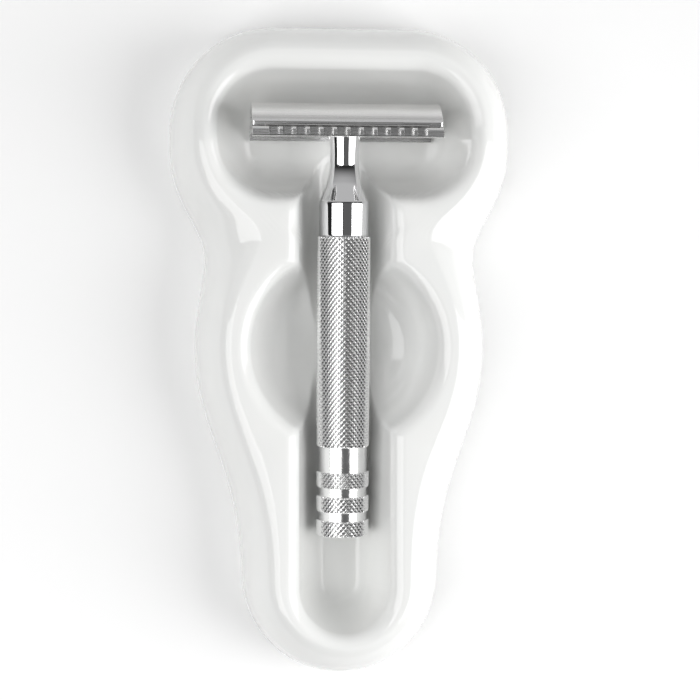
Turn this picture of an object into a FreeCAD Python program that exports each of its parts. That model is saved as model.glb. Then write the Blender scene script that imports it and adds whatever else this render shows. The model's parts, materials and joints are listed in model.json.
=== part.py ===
"""A glazed ceramic razor stand, with the three-piece safety razor that lies in it.

The dish is a low tray, long in Y. A basin for the razor's head is at the +Y end, a channel for
its handle runs down to the -Y end, and a round pocket across the channel lets a finger and a
thumb reach the grip. The razor lies on its side in the channel, with its head in the basin.
Millimetres, +Z up; the origin is on the ground, under the middle of the dish.
"""
import FreeCAD
import Part
import math
import os

Vector = FreeCAD.Vector

# ---------------------------------------------------------------- dish: outside
DISH_HALF_LENGTH = 77.5
RIM_HEIGHT = 23.0          # crest of the rim above the ground
SLOPE_WIDTH = 8.0          # the outer wall leans in by this much, from foot to crest
FOOT_ROUND = 2.5           # radius where the outer wall turns under
HEAD_HALF_WIDTH = 40.9     # three plain shapes, blended, make the outline
HEAD_HALF_LENGTH = 27.0
HEAD_CORNER = 24.9
HEAD_CENTRE_Y = DISH_HALF_LENGTH - HEAD_HALF_LENGTH
WAIST_RADIUS = 31.9
WAIST_CENTRE_Y = 0.7
TAIL_RADIUS = 23.4
TAIL_FAR_Y = TAIL_RADIUS - DISH_HALF_LENGTH
TAIL_NEAR_Y = 10.0
WAIST_BLEND = 21.4
TAIL_BLEND = 37.7
OUTLINE_POINTS = 48
SHELL_STEPS = 3

# ---------------------------------------------------------------- dish: the three hollows
EDGE_ROUND = 3.5           # radius of the rim's inner edge
EDGE_BEVEL = 10.0          # angle in degrees at which that edge meets the flat crest
CHANNEL_FLOOR = 6.0        # heights of the floors above the ground
POCKET_FLOOR = 4.0
BASIN_FLOOR = 6.8
CHANNEL_HALF_WIDTH = 14.0  # to the line where the inner edge starts to round over
CHANNEL_FAR_Y = -55.5
CHANNEL_NEAR_Y = 42.0
CHANNEL_WALL = (78.0, 7.4, 0.0)     # steepest angle in degrees, run from wall to floor, slope of the floor
POCKET_RADIUS = 25.2
POCKET_WALL = (74.0, 9.0, 0.38)
BASIN_HALF_WIDTH = 33.0
BASIN_HALF_LENGTH = 18.0
BASIN_CENTRE_Y = 50.5
BASIN_CORNER = 16.5
BASIN_WALL = (76.0, 12.0, 0.0)

# ---------------------------------------------------------------- dish: underneath
FOOT_WIDTH = 5.2           # from the outline to the inner edge of the foot ring
RECESS_DEPTH = 2.0

# ---------------------------------------------------------------- razor, along its axis
RAZOR_LENGTH = 101.3       # end of the pommel to the crown of the cap
RAZOR_CENTRE_Y = 7.0
GRIP_RADIUS = 6.3
BAND_RADIUS = 5.8          # polished bands, between and beside the knurling
SPIGOT_RADIUS = 4.0
SPIGOT_LENGTH = 8.0
REST_GAP = 0.3             # air left under the pommel where it rests on the glaze
GUARD_REST_GAP = 0.6       # and under the guard, whose ends reach the basin's curved sides
POMMEL_BANDS = ((0.0, 3.65), (5.65, 9.4), (11.4, 15.1))
POMMEL_TOP = 21.0
COLLAR_BOTTOM = 70.3
COLLAR_TOP = 78.4
NECK_TOP = 94.05
WAIST_OF_NECK = (88.6, 3.35)   # station and radius where the neck is thinnest
NECK_TOP_RADIUS = 3.7
NECK_FLARE = ((80.1, 4.99), (81.8, 4.32), (83.5, 3.9), (86.0, 3.48))   # stations and radii above the collar

# ---------------------------------------------------------------- razor head
HEAD_FIT = 0.05            # air between the head's pieces
BLADE_STATION = 97.75
BLADE_BEND = 28.6
BLADE_THICKNESS = 0.1
BLADE_LENGTH = 43.0
BLADE_EDGE_LENGTH = 37.3
BLADE_WIDTH = 22.0
BLADE_TAB = 12.8
CAP_LENGTH = 43.6
CAP_WIDTH = 20.8
CAP_CURVE = 13.5
CAP_CORNER = 0.5
CAP_LUG = (18.95, 7.0, 0.35)   # inner corner of each corner lug, and how far it reaches down
STUD_RADIUS = 2.5
STUD_END = 88.9
STUD_SEAT = 100.0
PIN_RADIUS = 1.5
PIN_X = 14.0
PIN_END = 95.4
PIN_SEAT = 99.7
THREAD_FIT = 0.05
BORE_END = 87.9
PLATE_UNDER = 94.1
GUARD_BOTTOM = 92.9
GUARD_TOP = 95.15
SLOT_FLOOR = 94.5          # floor of the slots between the seat and the guard bars
GUARD_HALF_WIDTH = 11.95
GUARD_BAR = 1.95           # width of the guard bar
PLATE_SEAT = 8.2           # half width of the curved seat under the blade
TONGUE = 5.2               # half width of the seat beyond the blade's cutting edges
NOTCH_COUNT = 12
NOTCH_PITCH = 3.07
NOTCH_WIDTH = 2.3
NOTCH_DEPTH = 1.6
NOTCH_FLOOR = 93.35


# ---------------------------------------------------------------- shapes of the dish
def smooth_min(a, b, blend):
    """The smaller of two values, with a soft change-over."""
    near = max(blend - abs(a - b), 0.0) / blend
    return min(a, b) - near ** 3 * blend / 6


def box_distance(x, y, half_width, half_length, corner):
    """Signed distance from a rectangle with round corners; negative inside."""
    out_x = abs(x) - (half_width - corner)
    out_y = abs(y) - (half_length - corner)
    outside = math.hypot(max(out_x, 0.0), max(out_y, 0.0))
    return outside + min(max(out_x, out_y), 0.0) - corner


def outline_distance(x, y):
    """Signed distance from the dish's outline; negative inside."""
    head = box_distance(x, y - HEAD_CENTRE_Y, HEAD_HALF_WIDTH, HEAD_HALF_LENGTH, HEAD_CORNER)
    waist = math.hypot(x, y - WAIST_CENTRE_Y) - WAIST_RADIUS
    tail = math.hypot(x, y - min(max(y, TAIL_FAR_Y), TAIL_NEAR_Y)) - TAIL_RADIUS
    return smooth_min(smooth_min(head, waist, WAIST_BLEND), tail, TAIL_BLEND)


def outline_wire(inset, height):
    """The dish's plan, drawn in from its outline; each point lies on a ray from the middle line."""
    points = []
    for step in range(OUTLINE_POINTS):
        turn = 2 * math.pi * step / OUTLINE_POINTS
        start_y = (DISH_HALF_LENGTH - TAIL_RADIUS) * math.sin(turn)
        low, high = 0.0, 2 * DISH_HALF_LENGTH
        while high - low > 1e-6:
            reach = (low + high) / 2
            outside = outline_distance(reach * math.cos(turn), start_y + reach * math.sin(turn)) + inset > 0
            low, high = (low, reach) if outside else (reach, high)
        points.append(Vector(low * math.cos(turn), start_y + low * math.sin(turn), height))
    curve = Part.BSplineCurve()
    curve.interpolate(points, PeriodicFlag=True)
    return Part.Wire(curve.toShape())


def make_shell():
    """The dish's outside: a round foot, and a wall that leans in as a quarter of an ellipse."""
    wires = []
    for step in range(SHELL_STEPS):
        turn = math.pi / 2 * (1 - step / SHELL_STEPS)
        wires.append(outline_wire(FOOT_ROUND * (1 - math.cos(turn)), FOOT_ROUND * (1 - math.sin(turn))))
    for step in range(2 * SHELL_STEPS + 1):
        turn = math.pi / 2 * step / (2 * SHELL_STEPS)
        height = FOOT_ROUND + (RIM_HEIGHT - FOOT_ROUND) * math.sin(turn)
        wires.append(outline_wire(SLOPE_WIDTH * (1 - math.cos(turn)), height))
    return Part.makeLoft(wires, True)


def hollow_section(radius, floor, wall):
    """Half the section of a hollow, in XZ: level or dished floor, curved wall, rounded rim edge.

    The radius is to the line where the edge starts to round over. The edge ends in a short
    straight bevel, so that the cut crosses the flat crest of the rim at an angle.
    """
    angle, run, dish_slope = math.radians(wall[0]), wall[1], wall[2]
    bend = EDGE_ROUND * math.sin(angle)
    wall_top = RIM_HEIGHT - EDGE_ROUND * (1 - math.cos(angle))
    drop = wall_top - floor - dish_slope * (radius - bend)
    power = (math.tan(angle) - dish_slope) * run / drop

    def on_wall(part):
        out = radius - bend - run * (1 - part)
        return Vector(out, 0, floor + dish_slope * out + drop * part ** power)

    def on_edge(turn):
        return Vector(radius - EDGE_ROUND * math.sin(turn), 0, RIM_HEIGHT - EDGE_ROUND * (1 - math.cos(turn)))

    slope = Part.BSplineCurve()
    slope.interpolate([on_wall(step / 8) for step in range(9)])
    bevel = math.radians(EDGE_BEVEL)
    edge_start = on_edge(bevel)
    clear = radius + 1
    bevel_end = Vector(clear, 0, edge_start.z + (clear - edge_start.x) * math.tan(bevel))
    above = 2 * RIM_HEIGHT
    corners = [bevel_end, Vector(clear, 0, above), Vector(0, 0, above), Vector(0, 0, floor), on_wall(0)]
    edges = [slope.toShape(), Part.Arc(on_wall(1), on_edge((angle + bevel) / 2), edge_start).toShape(),
             Part.makeLine(edge_start, bevel_end)]
    edges += [Part.makeLine(a, b) for a, b in zip(corners, corners[1:])]
    return Part.Face(Part.Wire(Part.__sortEdges__(edges)))


def hollow_tool(radius, floor, wall, half_x, half_y, centre_y):
    """A hollow of one section all round; half_x and half_y reach to the centres of its corners."""
    section = hollow_section(radius, floor, wall)
    up = Vector(0, 0, 1)
    solids = []
    for turn, x, y in ((0, half_x, half_y), (90, -half_x, half_y),
                       (180, -half_x, -half_y), (270, half_x, -half_y)):
        corner = section.revolve(Vector(0, 0, 0), up, 90)
        straight = 2 * (half_y if turn % 180 == 0 else half_x)
        pieces = [corner]
        if straight > 0:
            pieces.append(section.extrude(Vector(0, -straight, 0)))
        for piece in pieces:
            piece = piece.rotated(Vector(0, 0, 0), up, turn)
            solids.append(piece.translated(Vector(x, y, 0)))
    if half_x > 0 and half_y > 0:
        solids.append(block(-half_x, half_x, -half_y, half_y, floor, 2 * RIM_HEIGHT))
    whole = solids[0].multiFuse(solids[1:]).removeSplitter()
    return whole.translated(Vector(0, centre_y, 0))


def make_dish():
    body = make_shell()
    channel_half = (CHANNEL_NEAR_Y - CHANNEL_FAR_Y) / 2
    channel = hollow_tool(CHANNEL_HALF_WIDTH, CHANNEL_FLOOR, CHANNEL_WALL,
                          0, channel_half, CHANNEL_FAR_Y + channel_half)
    pocket = hollow_tool(POCKET_RADIUS, POCKET_FLOOR, POCKET_WALL, 0, 0, WAIST_CENTRE_Y)
    basin = hollow_tool(BASIN_CORNER, BASIN_FLOOR, BASIN_WALL, BASIN_HALF_WIDTH - BASIN_CORNER,
                        BASIN_HALF_LENGTH - BASIN_CORNER, BASIN_CENTRE_Y)
    body = body.cut(channel.fuse(pocket).fuse(basin))

    recess = Part.Face(outline_wire(FOOT_WIDTH, 0)).extrude(Vector(0, 0, RECESS_DEPTH))
    return body.cut(recess)


# ---------------------------------------------------------------- shapes of the razor
# Each piece is drawn upright: the axis is Z, and station 0 is the end of the pommel.
def round_bar(radius, low, high):
    return Part.makeCylinder(radius, high - low, Vector(0, 0, low))


def block(x_low, x_high, y_low, y_high, z_low, z_high):
    corner = Vector(x_low, y_low, z_low)
    return Part.makeBox(x_high - x_low, y_high - y_low, z_high - z_low, corner)


def mirrored(shape):
    """A shape and its three mirror images across the two middle planes."""
    pair = shape.fuse(shape.mirror(Vector(0, 0, 0), Vector(1, 0, 0)))
    return pair.fuse(pair.mirror(Vector(0, 0, 0), Vector(0, 1, 0)))


def curved_bar(radius, half_length):
    """A round bar along X whose skin passes the blade's centre line at the given radius."""
    centre = BLADE_STATION - BLADE_BEND
    return Part.makeCylinder(radius, 2 * half_length, Vector(-half_length, 0, centre), Vector(1, 0, 0))


def make_cap_plate():
    centre = RAZOR_LENGTH - CAP_CURVE
    half = CAP_LENGTH / 2
    dome = Part.makeCylinder(CAP_CURVE, CAP_LENGTH, Vector(-half, 0, centre), Vector(1, 0, 0))
    space = block(-half, half, -CAP_WIDTH / 2, CAP_WIDTH / 2, PLATE_UNDER, RAZOR_LENGTH + 1)
    upright = [e for e in space.Edges if abs(e.BoundBox.ZLength - (RAZOR_LENGTH + 1 - PLATE_UNDER)) < 0.01]
    shell = dome.common(space.makeFillet(CAP_CORNER, upright))
    over_blade = curved_bar(BLADE_BEND + BLADE_THICKNESS / 2 + HEAD_FIT, half + 1)
    under_lug = curved_bar(BLADE_BEND + BLADE_THICKNESS / 2 - CAP_LUG[2], half + 1)
    lugs = mirrored(block(CAP_LUG[0], half, CAP_LUG[1], CAP_WIDTH / 2, PLATE_UNDER, RAZOR_LENGTH))
    cap = shell.cut(over_blade).fuse(shell.cut(under_lug).common(lugs)).removeSplitter()
    cap = cap.cut(round_bar(STUD_RADIUS, PLATE_UNDER, STUD_SEAT))
    for side in (-1, 1):
        cap = cap.cut(round_bar(PIN_RADIUS, PLATE_UNDER, PIN_SEAT).translated(Vector(side * PIN_X, 0, 0)))
    return cap


def make_cap_stud():
    stud = round_bar(STUD_RADIUS, STUD_END, STUD_SEAT)
    tip = [e for e in stud.Edges if e.BoundBox.ZMax < STUD_END + 0.01]
    return stud.makeChamfer(0.6, tip)


def make_locating_pin(side):
    pin = round_bar(PIN_RADIUS, PIN_END, PIN_SEAT)
    tip = [e for e in pin.Edges if e.BoundBox.ZMax < PIN_END + 0.01]
    return pin.makeChamfer(0.4, tip).translated(Vector(side * PIN_X, 0, 0))


def make_blade():
    half = BLADE_LENGTH / 2
    top = BLADE_STATION + 1
    sheet = curved_bar(BLADE_BEND + BLADE_THICKNESS / 2, half).cut(
        curved_bar(BLADE_BEND - BLADE_THICKNESS / 2, half + 1))
    sheet = sheet.common(block(-half, half, -BLADE_WIDTH / 2, BLADE_WIDTH / 2, PLATE_UNDER, top))
    corner = block(BLADE_EDGE_LENGTH / 2, half + 1, BLADE_TAB / 2, BLADE_WIDTH, PLATE_UNDER, top)
    slot = block(-PIN_X, PIN_X, -PIN_RADIUS - 0.2, PIN_RADIUS + 0.2, PLATE_UNDER, top)
    for side in (-1, 1):
        slot = slot.fuse(round_bar(PIN_RADIUS + 0.2, PLATE_UNDER, top).translated(Vector(side * PIN_X, 0, 0)))
    slot = slot.fuse(round_bar(STUD_RADIUS + 0.3, PLATE_UNDER, top))
    return sheet.cut(mirrored(corner)).cut(slot)


def make_base_plate():
    half = CAP_LENGTH / 2
    seat_half = BLADE_EDGE_LENGTH / 2
    under_blade = curved_bar(BLADE_BEND - BLADE_THICKNESS / 2 - HEAD_FIT, half)
    seat = block(-seat_half, seat_half, -PLATE_SEAT, PLATE_SEAT, PLATE_UNDER, RAZOR_LENGTH)
    tongue = block(-half, half, -TONGUE, TONGUE, PLATE_UNDER, RAZOR_LENGTH)
    plate = under_blade.common(seat.fuse(tongue))
    rail = GUARD_HALF_WIDTH
    floor = block(-half, half, -rail + 0.5, rail - 0.5, PLATE_UNDER, SLOT_FLOOR)
    plate = plate.fuse(floor)
    for side in (-1, 1):
        bar = block(-half, half, rail - GUARD_BAR, rail, GUARD_BOTTOM, GUARD_TOP)
        along = [e for e in bar.Edges if e.BoundBox.XLength > half and e.BoundBox.YMin > rail - 0.01]
        bar = bar.makeFillet(0.7, along)
        for index in range(NOTCH_COUNT):
            x = (index - (NOTCH_COUNT - 1) / 2) * NOTCH_PITCH
            notch = block(x - NOTCH_WIDTH / 2, x + NOTCH_WIDTH / 2, rail - NOTCH_DEPTH, rail + 1,
                          NOTCH_FLOOR, GUARD_TOP + 1)
            bar = bar.cut(notch)
            floor_cut = notch.mirror(Vector(0, 0, 0), Vector(0, 1, 0)) if side < 0 else notch
            plate = plate.cut(floor_cut)
        plate = plate.fuse(bar.mirror(Vector(0, 0, 0), Vector(0, 1, 0)) if side < 0 else bar)
    plate = plate.removeSplitter()
    plate = plate.cut(round_bar(STUD_RADIUS + 0.15, GUARD_BOTTOM, RAZOR_LENGTH))
    for side in (-1, 1):
        hole = round_bar(PIN_RADIUS + 0.1, GUARD_BOTTOM, RAZOR_LENGTH)
        plate = plate.cut(hole.translated(Vector(side * PIN_X, 0, 0)))
    return plate


def make_handle_neck():
    """The collar, the waisted neck above it and the spigot that fits inside the grip."""
    collar_bevel = 0.3
    flare = Part.BSplineCurve()
    route = [(COLLAR_TOP, BAND_RADIUS), *NECK_FLARE, WAIST_OF_NECK, (NECK_TOP, NECK_TOP_RADIUS)]
    flare.interpolate([Vector(radius, 0, station) for station, radius in route])
    corners = [(0, NECK_TOP), (0, COLLAR_BOTTOM - SPIGOT_LENGTH),
               (SPIGOT_RADIUS, COLLAR_BOTTOM - SPIGOT_LENGTH), (SPIGOT_RADIUS, COLLAR_BOTTOM),
               (BAND_RADIUS - collar_bevel, COLLAR_BOTTOM), (BAND_RADIUS, COLLAR_BOTTOM + collar_bevel),
               (BAND_RADIUS, COLLAR_TOP)]
    edges = [flare.toShape(), Part.makeLine(Vector(NECK_TOP_RADIUS, 0, NECK_TOP), Vector(0, 0, NECK_TOP))]
    for (r1, z1), (r2, z2) in zip(corners, corners[1:]):
        edges.append(Part.makeLine(Vector(r1, 0, z1), Vector(r2, 0, z2)))
    section = Part.Face(Part.Wire(Part.__sortEdges__(edges)))
    neck = section.revolve(Vector(0, 0, 0), Vector(0, 0, 1), 360)
    return neck.cut(round_bar(STUD_RADIUS + THREAD_FIT, BORE_END, NECK_TOP + 1))


def make_grip_tube():
    tube = round_bar(GRIP_RADIUS, POMMEL_TOP, COLLAR_BOTTOM)
    tube = tube.makeChamfer(0.3, [e for e in tube.Edges if e.BoundBox.ZLength < 0.01])
    return tube.cut(round_bar(SPIGOT_RADIUS, POMMEL_TOP - 1, COLLAR_BOTTOM + 1))


def make_pommel():
    """The weighted end: a turned bar with three knurled bands and a spigot into the grip."""
    pommel = round_bar(BAND_RADIUS, 0, POMMEL_TOP).fuse(
        round_bar(SPIGOT_RADIUS, POMMEL_TOP, POMMEL_TOP + SPIGOT_LENGTH))
    for low, high in POMMEL_BANDS:
        band = round_bar(GRIP_RADIUS, low, high)
        pommel = pommel.fuse(band.makeChamfer(0.3, [e for e in band.Edges if e.BoundBox.ZLength < 0.01]))
    return pommel.removeSplitter()


# ---------------------------------------------------------------- placing
def razor_placement():
    """Lay the razor down: the pommel on the channel's floor, the guard on the basin's floor."""
    low_end = CHANNEL_FLOOR + REST_GAP + GRIP_RADIUS
    high_end = BASIN_FLOOR + GUARD_REST_GAP + GUARD_HALF_WIDTH
    tilt = math.degrees(math.asin((high_end - low_end) / GUARD_BOTTOM))
    start = RAZOR_CENTRE_Y - RAZOR_LENGTH / 2 * math.cos(math.radians(tilt))
    return tilt, FreeCAD.Placement(Vector(0, start, low_end),
                                   FreeCAD.Rotation(Vector(1, 0, 0), tilt - 90))


def main():
    os.makedirs("parts", exist_ok=True)
    tilt, lie_down = razor_placement()
    print("razor tilt", round(tilt, 4), "pommel end", lie_down.Base)
    pieces = {
        "cap_plate": make_cap_plate(),
        "cap_stud": make_cap_stud(),
        "locating_pin_left": make_locating_pin(-1),
        "locating_pin_right": make_locating_pin(1),
        "blade": make_blade(),
        "base_plate": make_base_plate(),
        "handle_neck": make_handle_neck(),
        "grip_tube": make_grip_tube(),
        "pommel": make_pommel(),
    }
    for name, shape in pieces.items():
        shape = shape.copy()
        shape.Placement = lie_down.multiply(shape.Placement)
        pieces[name] = shape
    pieces["dish"] = make_dish()
    for name, shape in pieces.items():
        box = shape.BoundBox
        print(name, shape.ShapeType, len(shape.Solids), "valid", shape.isValid(), "cm3",
              round(shape.Volume / 1000, 3), [round(v, 2) for v in (box.XMin, box.XMax, box.YMin,
                                                                   box.YMax, box.ZMin, box.ZMax)])
        solid = shape.Solids[0] if len(shape.Solids) == 1 else shape
        solid.exportStep("parts/" + name + ".step")


main()
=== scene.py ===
"""Looks for the ceramic razor stand and its safety razor.

Shapes are worked out in millimetres and put in the scene in metres.
"""
import json
import math

import bmesh
import bpy
import numpy as np
from mathutils import Matrix, Vector


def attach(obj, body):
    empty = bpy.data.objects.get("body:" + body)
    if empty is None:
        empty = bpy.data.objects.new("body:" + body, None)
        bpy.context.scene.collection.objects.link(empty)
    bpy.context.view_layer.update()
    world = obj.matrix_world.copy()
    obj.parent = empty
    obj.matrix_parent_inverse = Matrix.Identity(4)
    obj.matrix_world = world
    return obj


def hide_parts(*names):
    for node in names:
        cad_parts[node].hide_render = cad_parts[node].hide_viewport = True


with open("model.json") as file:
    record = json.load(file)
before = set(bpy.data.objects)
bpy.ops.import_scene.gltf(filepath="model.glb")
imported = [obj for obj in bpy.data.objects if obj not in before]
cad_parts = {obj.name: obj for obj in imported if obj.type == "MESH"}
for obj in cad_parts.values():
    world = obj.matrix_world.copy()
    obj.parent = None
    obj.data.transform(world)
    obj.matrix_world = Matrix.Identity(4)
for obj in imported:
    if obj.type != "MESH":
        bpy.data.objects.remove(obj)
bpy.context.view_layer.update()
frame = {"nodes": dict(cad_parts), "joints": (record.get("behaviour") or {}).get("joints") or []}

MM = 0.001

# ---------------------------------------------------------------- dish, in millimetres
HALF_LENGTH = 77.5
RIM_HEIGHT = 23.0
SLOPE_WIDTH = 8.0
FOOT_ROUND = 2.5
FOOT_WIDTH = 5.2
FOOT_BREAK = (0.15, 0.3)   # width and height of the bevel on the foot ring's inner edge
BARE_HEIGHT = 0.35         # the glaze stops this far above the table
RECESS_DEPTH = 2.0
HEAD = {"half_width": 40.9, "half_length": 27.0, "corner": 24.9, "y": HALF_LENGTH - 27.0}
WAIST = {"radius": 31.9, "y": 0.7}
TAIL = {"radius": 23.4, "far_y": 23.4 - HALF_LENGTH, "near_y": 10.0}
MIDDLE_LINE = -TAIL["far_y"]  # half length of the line in X = 0 that the mesh's rays start from
WAIST_BLEND = 21.4
TAIL_BLEND = 37.7
EDGE_ROUND = 3.5
CREASE = 1.2
CREST_SLOPE = 0.16         # share of the outer wall's rise that is a straight slope
DOME = (1.5, 12.0)         # how far the land falls away from the hollows, and over what distance

# Each wall: steepest angle in degrees, run from the rim to the floor, and slope of the floor.
CHANNEL = {"half_width": 14.0, "far_y": -55.5, "near_y": 42.0, "floor": 6.0,
           "wall": (78.0, 7.4, 0.0)}
POCKET = {"half_width": 25.2, "y": 0.7, "floor": 4.0, "wall": (74.0, 9.0, 0.38)}
BASIN = {"half_width": 33.0, "half_length": 18.0, "corner": 16.5, "y": 50.5, "floor": 6.8,
         "wall": (76.0, 12.0, 0.0)}

# The dish's mesh: points in a ring, and rings in each stretch of its skin.
DISH_AROUND = 420
INSIDE_STEPS = 150
RECESS_RINGS = (0.0, 0.4, 0.8, 0.96, 1.0)
RECESS_MIDWAY = 0.6
FOOT_STEPS = 6
WALL_STEPS = 36
CREST_PASSES = 8           # how often the rings by the crest are evened out
CREST_REACH = 4            # and how many of them on each side of it
HALVINGS = 40              # steps in the search for the outline along a ray


def smooth_min(a, b, blend):
    """The lower of two heights or distances, with their meeting rounded over a blend."""
    near = np.maximum(blend - np.abs(a - b), 0.0) / np.maximum(blend, 1e-9)
    return np.minimum(a, b) - near ** 3 * blend / 6


def box_distance(x, y, half_width, half_length, corner):
    """Signed distance from a round-cornered rectangle; negative inside."""
    out_x = np.abs(x) - (half_width - corner)
    out_y = np.abs(y) - (half_length - corner)
    outside = np.hypot(np.maximum(out_x, 0.0), np.maximum(out_y, 0.0))
    return outside + np.minimum(np.maximum(out_x, out_y), 0.0) - corner


def outline_distance(x, y):
    """Signed distance from the dish's outline; negative inside."""
    head = box_distance(x, y - HEAD["y"], HEAD["half_width"], HEAD["half_length"], HEAD["corner"])
    waist = np.hypot(x, y - WAIST["y"]) - WAIST["radius"]
    tail = np.hypot(x, y - np.clip(y, TAIL["far_y"], TAIL["near_y"])) - TAIL["radius"]
    return smooth_min(smooth_min(head, waist, WAIST_BLEND), tail, TAIL_BLEND)


def wall_height(inward, hollow):
    """Height of a hollow's side, at a distance inward from the edge of the rim's crest."""
    degrees, run, floor_slope = hollow["wall"]
    angle = math.radians(degrees)
    bend = EDGE_ROUND * math.sin(angle)
    drop = RIM_HEIGHT - EDGE_ROUND * (1 - math.cos(angle)) - hollow["floor"]
    drop -= floor_slope * (hollow["half_width"] - bend)
    left = np.clip(1 - (inward - bend) / run, 0.0, 1.0)
    floor = hollow["floor"] + floor_slope * np.maximum(hollow["half_width"] - inward, 0.0)
    side = floor + drop * left ** ((math.tan(angle) - floor_slope) * run / drop)
    round_part = np.clip(inward, 0.0, bend)
    edge = RIM_HEIGHT - EDGE_ROUND + np.sqrt(EDGE_ROUND ** 2 - round_part ** 2)
    return np.where(inward < bend, edge, side)


def inward_distances(x, y):
    """Distance in from the edge of the channel, the pocket and the basin."""
    along = np.hypot(x, y - np.clip(y, CHANNEL["far_y"], CHANNEL["near_y"]))
    basin = box_distance(x, y - BASIN["y"], BASIN["half_width"], BASIN["half_length"],
                         BASIN["corner"])
    return (CHANNEL["half_width"] - along, POCKET["half_width"] - np.hypot(x, y - POCKET["y"]),
            -basin)


def land_height(x, y):
    """Height of the land round the hollows, which falls away from their edges."""
    outward = -np.maximum.reduce(inward_distances(x, y))
    return RIM_HEIGHT - DOME[0] * (np.clip(outward, 0.0, DOME[1]) / DOME[1]) ** 2


def hollow_height(x, y):
    """Height of the dish's inside."""
    hollows = zip(inward_distances(x, y), (CHANNEL, POCKET, BASIN))
    height, *others = [wall_height(inward, hollow) for inward, hollow in hollows]
    for other in others:
        depth = RIM_HEIGHT - np.minimum(height, other)
        height = smooth_min(height, other, np.minimum(CREASE, depth))
    return height + land_height(x, y) - RIM_HEIGHT


def on_ray(turn, reach):
    """The point on each ray at its reach. The rays start spread along the middle line."""
    return reach * np.cos(turn), (reach + MIDDLE_LINE) * np.sin(turn)


def ray_reach(turn, inset):
    """Distance from the middle line to the outline, drawn in by inset, along each ray."""
    low, high = np.zeros_like(turn), np.full_like(turn, 2 * HALF_LENGTH)
    for _ in range(HALVINGS):
        reach = (low + high) / 2
        outside = outline_distance(*on_ray(turn, reach)) + inset > 0
        low, high = np.where(outside, low, reach), np.where(outside, reach, high)
    return low


def dish_rings(turn):
    """Rings of points, from the middle of the underside, round the foot and the wall, over the
    crest and down to the middle line of the inside."""
    rings = []

    def ring(reach, height):
        x, y = on_ray(turn, reach)
        rings.append(np.stack([x, y, np.broadcast_to(height, x.shape)], axis=1))

    under = ray_reach(turn, FOOT_WIDTH)
    for part in RECESS_RINGS:
        ring(under * part, RECESS_DEPTH)
    ring(under, RECESS_DEPTH * RECESS_MIDWAY)
    ring(under, FOOT_BREAK[1])
    ring(under + FOOT_BREAK[0], 0.0)
    for step in range(FOOT_STEPS + 1):
        bend = math.pi / 2 * (1 - step / FOOT_STEPS)
        reach = ray_reach(turn, FOOT_ROUND * (1 - math.cos(bend)))
        ring(reach, FOOT_ROUND * (1 - math.sin(bend)))
    crest = ray_reach(turn, SLOPE_WIDTH)
    top = land_height(*on_ray(turn, crest))
    for step in range(1, WALL_STEPS + 1):
        bend = math.pi / 2 * step / WALL_STEPS
        inset = 1 - math.cos(bend)
        rise = (1 - CREST_SLOPE) * math.sin(bend) + CREST_SLOPE * inset
        ring(ray_reach(turn, SLOPE_WIDTH * inset), FOOT_ROUND + (top - FOOT_ROUND) * rise)
    crest_row = len(rings) - 1
    for step in range(1, INSIDE_STEPS + 1):
        reach = crest * (1 - step / INSIDE_STEPS)
        ring(reach, hollow_height(*on_ray(turn, reach)))

    for _ in range(CREST_PASSES):
        before = list(rings)
        for row in range(crest_row - CREST_REACH, crest_row + CREST_REACH + 1):
            rings[row] = (before[row - 1] + 2 * before[row] + before[row + 1]) / 4
    return rings


def make_dish():
    """The dish as one closed skin."""
    rings = dish_rings(2 * math.pi * np.arange(DISH_AROUND) / DISH_AROUND)
    points = np.concatenate(rings) * MM
    index = np.arange(len(points)).reshape(len(rings), DISH_AROUND)
    # The first and last rings lie folded on the middle line: each point is met by its mirror.
    mirror = (DISH_AROUND // 2 - np.arange(DISH_AROUND)) % DISH_AROUND
    for end in (0, -1):
        index[end] = np.minimum(index[end], index[end][mirror])
    faces = []
    for low, high in zip(index, index[1:]):
        for a in range(DISH_AROUND):
            b = (a + 1) % DISH_AROUND
            corners = [int(c) for c in dict.fromkeys((low[a], low[b], high[b], high[a]))]
            if len(corners) > 2:
                faces.append(corners)
    mesh = bpy.data.meshes.new("dish_glazed")
    mesh.from_pydata(points.tolist(), [], faces)
    skin = bmesh.new()
    skin.from_mesh(mesh)
    bmesh.ops.delete(skin, geom=[v for v in skin.verts if not v.link_faces], context="VERTS")
    bmesh.ops.recalc_face_normals(skin, faces=skin.faces)
    skin.to_mesh(mesh)
    skin.free()
    return mesh


# ---------------------------------------------------------------- materials
NOISE_DETAIL = 3.0
NOISE_RANGE = (0.3, 0.7)   # the part of the noise that is spread over the range of roughness
RELIEF_STRENGTH = 0.5
TURNED_MARKS = (2, 60, 2)
BRUSHED_MARKS = (1, 50, 50)
EVEN_MARKS = (1, 1, 1)
GLAZE_IOR = 1.52
GLAZE_TONES = ((0.875, 0.885, 0.875, 1), (0.895, 0.895, 0.88, 1))


def new_material(name):
    """A material with nodes, and its shader."""
    material = bpy.data.materials.new(name)
    material.use_nodes = True
    return material, material.node_tree.nodes["Principled BSDF"]


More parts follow.
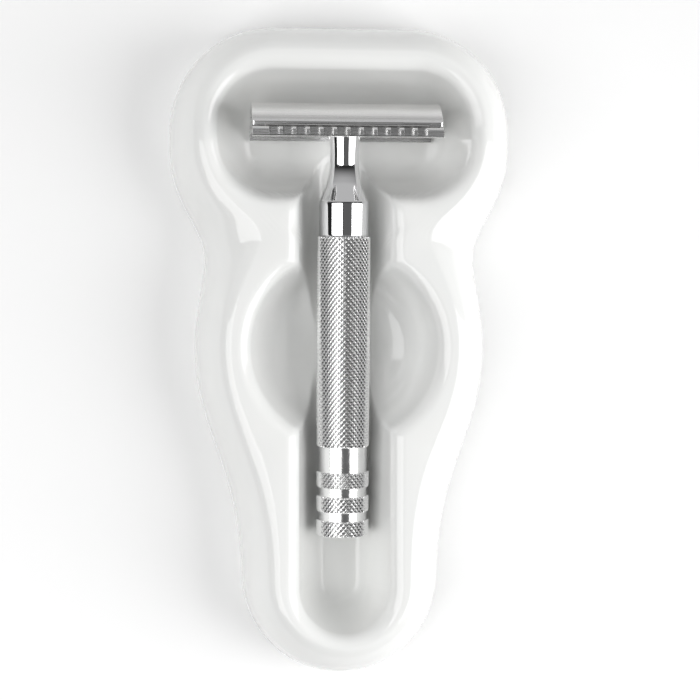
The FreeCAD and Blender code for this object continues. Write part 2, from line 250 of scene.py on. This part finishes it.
def surface_marks(material, stretch, scale, rough, depth):
    """Fine marks from stretched noise: a little relief in metres, and a range of roughness."""
    nodes, links = material.node_tree.nodes, material.node_tree.links
    shader = nodes["Principled BSDF"]
    where = nodes.new("ShaderNodeTexCoord")
    mapping = nodes.new("ShaderNodeMapping")
    mapping.inputs["Scale"].default_value = stretch
    noise = nodes.new("ShaderNodeTexNoise")
    noise.inputs["Scale"].default_value = scale
    noise.inputs["Detail"].default_value = NOISE_DETAIL
    spread = nodes.new("ShaderNodeMapRange")
    spread.inputs["From Min"].default_value = NOISE_RANGE[0]
    spread.inputs["From Max"].default_value = NOISE_RANGE[1]
    spread.inputs["To Min"].default_value = rough[0]
    spread.inputs["To Max"].default_value = rough[1]
    bump = nodes.new("ShaderNodeBump")
    bump.inputs["Distance"].default_value = depth
    bump.inputs["Strength"].default_value = RELIEF_STRENGTH
    links.new(where.outputs["Object"], mapping.inputs["Vector"])
    links.new(mapping.outputs["Vector"], noise.inputs["Vector"])
    links.new(noise.outputs["Fac"], spread.inputs["Value"])
    links.new(spread.outputs["Result"], shader.inputs["Roughness"])
    links.new(noise.outputs["Fac"], bump.inputs["Height"])
    links.new(bump.outputs["Normal"], shader.inputs["Normal"])
    return noise


def glaze_material():
    """White glossy glaze, faintly uneven, with a slight change of tone where it pooled."""
    material, shader = new_material("white_glaze")
    shader.inputs["IOR"].default_value = GLAZE_IOR
    noise = surface_marks(material, stretch=EVEN_MARKS, scale=90.0, rough=(0.03, 0.07),
                          depth=0.00004)
    tone = material.node_tree.nodes.new("ShaderNodeMixRGB")
    tone.inputs[1].default_value, tone.inputs[2].default_value = GLAZE_TONES
    material.node_tree.links.new(noise.outputs["Fac"], tone.inputs[0])
    material.node_tree.links.new(tone.outputs[0], shader.inputs["Base Color"])
    return material


def bisque_material():
    """The unglazed ring that the dish was fired on."""
    material, shader = new_material("bare_foot")
    shader.inputs["Base Color"].default_value = (0.78, 0.76, 0.71, 1)
    surface_marks(material, stretch=EVEN_MARKS, scale=1500.0, rough=(0.75, 0.95), depth=0.00008)
    return material


def metal_material(name, tint, rough, stretch, scale, depth):
    """Steel whose marks run across the direction in which the noise is stretched."""
    material, shader = new_material(name)
    shader.inputs["Base Color"].default_value = (*tint, 1)
    shader.inputs["Metallic"].default_value = 1.0
    surface_marks(material, stretch, scale, rough, depth)
    return material


# ---------------------------------------------------------------- razor, up its own axis, in mm
GRIP_RADIUS = 6.3
BAND_RADIUS = 5.8
KNURL_COUNT = 34
KNURL_PITCH = 1.3
KNURL_DEPTH = 0.34
KNURL_FLAT = 0.16
KNURL_FINE = 6             # mesh steps across one cut
KNURL_STEPS = KNURL_FINE
STATION_PLACES = 4         # decimals that tell two rings apart
EDGE_BREAK = 0.25
POMMEL_BANDS = ((0.0, 3.65), (5.65, 9.4), (11.4, 15.1))
POMMEL_TOP = 21.0
GROOVE_CORNER = 0.02       # from a band's bevel to the first and last ring of the groove by it
GROOVE_RINGS = 8
COLLAR_BOTTOM = 70.3
COLLAR_TOP = 78.4
COLLAR_ROUND = ((0.0, -EDGE_BREAK), (0.12, -0.08), (EDGE_BREAK, 0.0))
COLLAR_RINGS = 12
COLLAR_PLAIN = (0.6, 0.12)  # from the collar's two ends to the plain part's end rings
NECK_TOP = 94.05
NECK_CURVE = ((COLLAR_TOP, BAND_RADIUS), (80.1, 4.99), (81.8, 4.32), (83.5, 3.9), (86.0, 3.48),
              (88.6, 3.35), (91.5, 3.47), (NECK_TOP, 3.7))
FLARE_SLOPE = -0.52        # the neck's change of radius with height where it leaves the collar
NECK_RINGS = 12            # in each span of its curve
NECK_AROUND = 192
STUD = {"radius": 2.5, "end": 88.9, "seat": 100.0, "pitch": 0.8, "depth": 0.42, "plain": 96.0,
        "lead": 0.6, "lead_depth": 0.5}
STUD_AROUND = 48
STUD_RINGS = 10            # in each turn of its thread
SAME_POINT = 1e-6          # in metres
FLAT_WITHIN = math.radians(0.5)
SHARP_BEYOND = math.radians(30)
BEVEL_STEPS = 2
GROUND_BEYOND = 9.9        # half width beyond which the head's long sides are ground
GROUND_FACING = 0.6        # and how squarely they face sideways


def razor_place():
    """Matrix from the razor's own millimetres, Z up from the pommel's end, to the scene."""
    turn = next(j for j in frame["joints"] if j["name"] == "handle_turn")
    up = -Vector(turn["axis"])
    across = Vector((1, 0, 0))
    base = Vector(turn["pos_m"]) - up * NECK_TOP * MM
    turned = Matrix((across, up.cross(across), up)).transposed().to_4x4()
    return Matrix.Translation(base) @ turned @ Matrix.Scale(MM, 4)


def turned_mesh(name, stations, radii):
    """A closed skin of rings up the axis; radii is one row of radii for each station."""
    rows, around = radii.shape
    turn = 2 * math.pi * np.arange(around) / around
    heights = np.broadcast_to(np.asarray(stations, dtype=float)[:, None], radii.shape)
    points = np.stack([radii * np.cos(turn), radii * np.sin(turn), heights], axis=2).reshape(-1, 3)
    faces = []
    for row in range(rows - 1):
        for a in range(around):
            b = (a + 1) % around
            low, high = row * around, (row + 1) * around
            if (row + a) % 2:
                faces += [[low + a, low + b, high + a], [low + b, high + b, high + a]]
            else:
                faces += [[low + a, low + b, high + b], [low + a, high + b, high + a]]
    bottom = len(points)
    last = (rows - 1) * around
    for a in range(around):
        b = (a + 1) % around
        faces.append([bottom, b, a])
        faces.append([bottom + 1, last + a, last + b])
    middles = [(0, 0, heights[0, 0]), (0, 0, heights[-1, 0])]
    mesh = bpy.data.meshes.new(name)
    mesh.from_pydata(np.concatenate([points, middles]).tolist(), [], faces)
    return mesh


def off_ridge(phase):
    """Distance from the nearest whole turn of a pattern: 0 on it and 1 halfway to the next."""
    return np.abs(phase - np.round(phase)) * 2


def groove(phase):
    """Depth of one family of cuts, 1 at its valleys and 0 at the flats between them."""
    return np.clip(1 - off_ridge(phase) / (1 - KNURL_FLAT), 0.0, 1.0)


def knurl(stations, low, high, around):
    """Radii of a diamond-cut band between two stations, with its two ends bevelled."""
    turn = np.arange(around) / around * KNURL_COUNT
    rise = (stations[:, None] - low) / KNURL_PITCH
    cut = np.maximum(groove(turn + rise), groove(turn - rise))
    from_end = np.minimum(stations - low, high - stations)
    bevel = (GRIP_RADIUS - EDGE_BREAK + from_end)[:, None]
    return np.minimum(GRIP_RADIUS - KNURL_DEPTH * cut, bevel)


def knurl_stations(low, high):
    """Rings on the cuts' crossings and between them, and one at the band's far end."""
    step = KNURL_PITCH / KNURL_STEPS
    rings = low + step * np.arange(int((high - low) / step) + 1)
    return np.unique(np.round(np.append(rings, high), STATION_PLACES))


def make_grip():
    """The diamond-knurled grip."""
    stations = knurl_stations(POMMEL_TOP, COLLAR_BOTTOM)
    radii = knurl(stations, POMMEL_TOP, COLLAR_BOTTOM, KNURL_COUNT * KNURL_STEPS)
    return turned_mesh("grip_knurled", stations, radii)


def make_pommel():
    """Three knurled bands with polished grooves between them, and a polished band above."""
    around = KNURL_COUNT * KNURL_FINE
    stations, rows = [], []
    groove_tops = [low for low, high in POMMEL_BANDS[1:]] + [POMMEL_TOP]
    for (low, high), groove_top in zip(POMMEL_BANDS, groove_tops):
        rings = knurl_stations(low, high)
        stations += list(rings)
        rows.append(knurl(rings, low, high, around))
        plain = np.linspace(high + GROOVE_CORNER, groove_top - GROOVE_CORNER, GROOVE_RINGS)
        stations += list(plain)
        rows.append(np.full((GROOVE_RINGS, around), BAND_RADIUS))
    return turned_mesh("pommel_knurled", stations, np.concatenate(rows))


def hermite(part, start, end, leave, arrive):
    """A cubic from start to end over part 0 to 1, with the slopes that it leaves and arrives at."""
    square, cube = part ** 2, part ** 3
    return ((2 * cube - 3 * square + 1) * start + (3 * square - 2 * cube) * end
            + (cube - 2 * square + part) * leave + (cube - square) * arrive)


def make_neck():
    """The collar and the waisted neck, with a small round at the collar's lower corner."""
    curve = np.array(NECK_CURVE)
    slope = np.gradient(curve[:, 1], curve[:, 0])
    slope[0] = FLARE_SLOPE
    stations = [COLLAR_BOTTOM + height for height, _ in COLLAR_ROUND]
    radii = [BAND_RADIUS + change for _, change in COLLAR_ROUND]
    plain = (COLLAR_BOTTOM + COLLAR_PLAIN[0], COLLAR_TOP - COLLAR_PLAIN[1])
    stations += list(np.linspace(*plain, COLLAR_RINGS))
    radii += [BAND_RADIUS] * COLLAR_RINGS
    for index in range(len(curve) - 1):
        (low, start), (high, end) = curve[index], curve[index + 1]
        run = high - low
        for part in np.linspace(0, 1, NECK_RINGS + 1)[1:]:
            stations.append(low + part * run)
            radii.append(hermite(part, start, end, run * slope[index], run * slope[index + 1]))
    rows = np.broadcast_to(np.array(radii)[:, None], (len(radii), NECK_AROUND))
    return turned_mesh("neck_turned", stations, rows)


def make_stud():
    """The cap's threaded stud: its thread is one helical ridge, run out below the plain part."""
    stations = np.arange(STUD["end"], STUD["seat"], STUD["pitch"] / STUD_RINGS)
    tooth = off_ridge(stations[:, None] / STUD["pitch"] - np.arange(STUD_AROUND) / STUD_AROUND)
    fade = np.clip((STUD["plain"] - stations) / STUD["pitch"], 0.0, 1.0)[:, None]
    lead = np.clip((stations - STUD["end"]) / STUD["lead"], 0.0, 1.0)[:, None]
    radii = STUD["radius"] - STUD["depth"] * tooth * fade - STUD["lead_depth"] * (1 - lead)
    return turned_mesh("stud_threaded", stations, radii)


def refined_copy(node, name, edge):
    """A CAD node's shape again as clean faces, with every sharp edge bevelled by the given width."""
    source = frame["nodes"][node]
    mesh = source.data.copy()
    mesh.name = name
    mesh.transform(source.matrix_world)
    mesh.materials.clear()
    clean = bmesh.new()
    clean.from_mesh(mesh)
    bmesh.ops.remove_doubles(clean, verts=clean.verts, dist=SAME_POINT)
    bmesh.ops.dissolve_limit(clean, angle_limit=FLAT_WITHIN, verts=clean.verts, edges=clean.edges)
    clean.to_mesh(mesh)
    clean.free()
    draft = bpy.data.objects.new(name + "_draft", mesh)
    bpy.context.scene.collection.objects.link(draft)
    bevel = draft.modifiers.new("edges", "BEVEL")
    bevel.width = edge * MM
    bevel.segments = BEVEL_STEPS
    bevel.limit_method = "ANGLE"
    bevel.angle_limit = SHARP_BEYOND
    bevelled = draft.evaluated_get(bpy.context.evaluated_depsgraph_get())
    shaped = bpy.data.meshes.new_from_object(bevelled)
    bpy.data.objects.remove(draft)
    shaped.name = name
    return shaped


# ---------------------------------------------------------------- the pieces
def add(name, mesh, material, body, node, smooth=True, place=None):
    """Put a mesh in the scene as the shown form of a CAD node."""
    piece = bpy.data.objects.new(name, mesh)
    bpy.context.scene.collection.objects.link(piece)
    if place is not None:
        mesh.transform(place)
    mesh.materials.append(material)
    for face in mesh.polygons:
        face.use_smooth = smooth
    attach(piece, body)
    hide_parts(node)
    return piece


def bare_the_foot(dish):
    """Leave the glaze off the dish's lowest faces."""
    dish.data.materials.append(bisque_material())
    for face in dish.data.polygons:
        face.material_index = int(face.center.z < BARE_HEIGHT * MM)


def grind_long_sides(piece, material, place):
    """Give the head's two long outer sides the coarser finish of a ground face."""
    side = (place.to_3x3() @ Vector((0, 1, 0))).normalized()
    back = place.inverted()
    piece.data.materials.append(material)
    for face in piece.data.polygons:
        outside = abs((back @ face.center).y) > GROUND_BEYOND
        if outside and abs(face.normal.dot(side)) > GROUND_FACING:
            face.material_index = 1


glaze = glaze_material()
polished = metal_material("polished_steel", tint=(0.83, 0.83, 0.84), rough=(0.03, 0.07),
                          stretch=TURNED_MARKS, scale=60.0, depth=0.000002)
knurled = metal_material("knurled_steel", tint=(0.86, 0.86, 0.86), rough=(0.13, 0.2),
                         stretch=EVEN_MARKS, scale=900.0, depth=0.000004)
brushed = metal_material("brushed_steel", tint=(0.74, 0.735, 0.73), rough=(0.18, 0.26),
                         stretch=BRUSHED_MARKS, scale=60.0, depth=0.000003)
ground = metal_material("ground_steel", tint=(0.85, 0.85, 0.85), rough=(0.22, 0.3),
                        stretch=BRUSHED_MARKS, scale=60.0, depth=0.000003)
place = razor_place()
bare_the_foot(add("dish_glazed", make_dish(), glaze, "dish", "dish"))
add("grip_knurled", make_grip(), knurled, "handle", "grip_tube",
    smooth=False, place=place)
add("pommel_knurled", make_pommel(), knurled, "handle", "pommel",
    smooth=False, place=place)
add("neck_turned", make_neck(), polished, "handle", "handle_neck", place=place)
add("stud_threaded", make_stud(), brushed, "head", "cap_stud", place=place)

# Pieces that keep the CAD's shape: node, body, slot, and width of their bevelled edges in mm.
for node, body, slot, edge in (("cap_plate", "head", "polished_plate", 0.12),
                               ("base_plate", "base", "polished_plate", 0.1),
                               ("blade", "blade", "blade_steel", 0.02),
                               ("locating_pin_left", "head", "screw_steel", 0.05),
                               ("locating_pin_right", "head", "screw_steel", 0.05)):
    name = node + "_finished"
    piece = add(name, refined_copy(node, name, edge), brushed, body, node, smooth=False)
    if node in ("cap_plate", "base_plate"):
        grind_long_sides(piece, ground, place)

# ---------------------------------------------------------------- floor, light and camera
FLOOR_REACH = 3.0
LIGHT_DISTANCE = 1.0
LIGHT_ENDS = (-0.65, 0.15)  # where every softbox starts and ends in Y
WORLD_COLOUR = (0.95, 0.95, 0.95, 1)
BETWEEN_FILLS = 0.01       # what each fill leaves of itself outside its own side

# Each fill of the world: the Y of the direction where it starts and is full, and its strength.
FILLS = ((-0.2, -0.6, 0.05), (0.12, 0.45, 0.55))

CAMERA_DISTANCE = 0.42
CAMERA_LENS = 88.25        # in mm, with the sensor's width
SENSOR_WIDTH = 36
LEAN = math.radians(5.0)   # the camera stands this far left of straight above
AIM = Vector((0.003, 0.0, 0.0))


def make_floor():
    """A matt white floor under the dish."""
    size = FLOOR_REACH
    corners = [(-size, -size, 0), (size, -size, 0), (size, size, 0), (-size, size, 0)]
    mesh = bpy.data.meshes.new("floor")
    mesh.from_pydata(corners, [], [(0, 1, 2, 3)])
    floor = bpy.data.objects.new("floor", mesh)
    bpy.context.scene.collection.objects.link(floor)
    material, shader = new_material("pale_floor")
    shader.inputs["Base Color"].default_value = (1.0, 1.0, 1.0, 1)
    shader.inputs["Roughness"].default_value = 0.9
    shader.inputs["Specular IOR Level"].default_value = 0.0
    mesh.materials.append(material)


def softbox(name, angle, spread, radiance):
    """An area light. Its middle is at an angle right of overhead and it spreads over an angle in
    X, both in degrees."""
    near_y, far_y = LIGHT_ENDS
    light = bpy.data.lights.new(name, "AREA")
    light.shape = "RECTANGLE"
    light.size = 2 * LIGHT_DISTANCE * math.tan(math.radians(spread / 2))
    light.size_y = far_y - near_y
    light.energy = radiance * math.pi * light.size * light.size_y
    lamp = bpy.data.objects.new(name, light)
    bpy.context.scene.collection.objects.link(lamp)
    turn = math.radians(angle)
    lamp.location = (LIGHT_DISTANCE * math.sin(turn), (near_y + far_y) / 2,
                     LIGHT_DISTANCE * math.cos(turn))
    lamp.rotation_euler = (0, turn, 0)


def make_world():
    """A dark studio with soft fill from the front and the back, and a pale backdrop that only
    the camera sees."""
    world = bpy.data.worlds.new("studio")
    bpy.context.scene.world = world
    world.use_nodes = True
    nodes, links = world.node_tree.nodes, world.node_tree.links
    way = nodes.new("ShaderNodeTexCoord")
    split = nodes.new("ShaderNodeSeparateXYZ")
    both = nodes.new("ShaderNodeMath")
    both.operation = "ADD"
    links.new(way.outputs["Generated"], split.inputs[0])
    for number, (start, full, strength) in enumerate(FILLS):
        ramp = nodes.new("ShaderNodeMapRange")
        ramp.interpolation_type = "SMOOTHSTEP"
        ramp.inputs["From Min"].default_value = start
        ramp.inputs["From Max"].default_value = full
        ramp.inputs["To Min"].default_value = BETWEEN_FILLS
        ramp.inputs["To Max"].default_value = strength
        links.new(split.outputs["Y"], ramp.inputs["Value"])
        links.new(ramp.outputs["Result"], both.inputs[number])
    path = nodes.new("ShaderNodeLightPath")
    seen = nodes.new("ShaderNodeMath")
    seen.operation = "MAXIMUM"
    links.new(both.outputs[0], seen.inputs[0])
    links.new(path.outputs["Is Camera Ray"], seen.inputs[1])
    links.new(seen.outputs[0], nodes["Background"].inputs["Strength"])
    nodes["Background"].inputs["Color"].default_value = WORLD_COLOUR


def make_camera():
    """The scene's camera, almost straight above the dish."""
    data = bpy.data.cameras.new("camera")
    data.sensor_width = SENSOR_WIDTH
    data.lens = CAMERA_LENS
    camera = bpy.data.objects.new("camera", data)
    bpy.context.scene.collection.objects.link(camera)
    camera.location = AIM + Vector((-math.sin(LEAN), 0, math.cos(LEAN))) * CAMERA_DISTANCE
    camera.rotation_euler = (0, -LEAN, 0)
    bpy.context.scene.camera = camera


make_floor()
softbox("softbox_left", angle=-36.5, spread=50, radiance=3.0)
softbox("softbox_right", angle=60.5, spread=57, radiance=3.9)
softbox("ceiling", angle=10.5, spread=40, radiance=0.1)
make_world()
make_camera()
bpy.context.scene.view_settings.view_transform = "Standard"
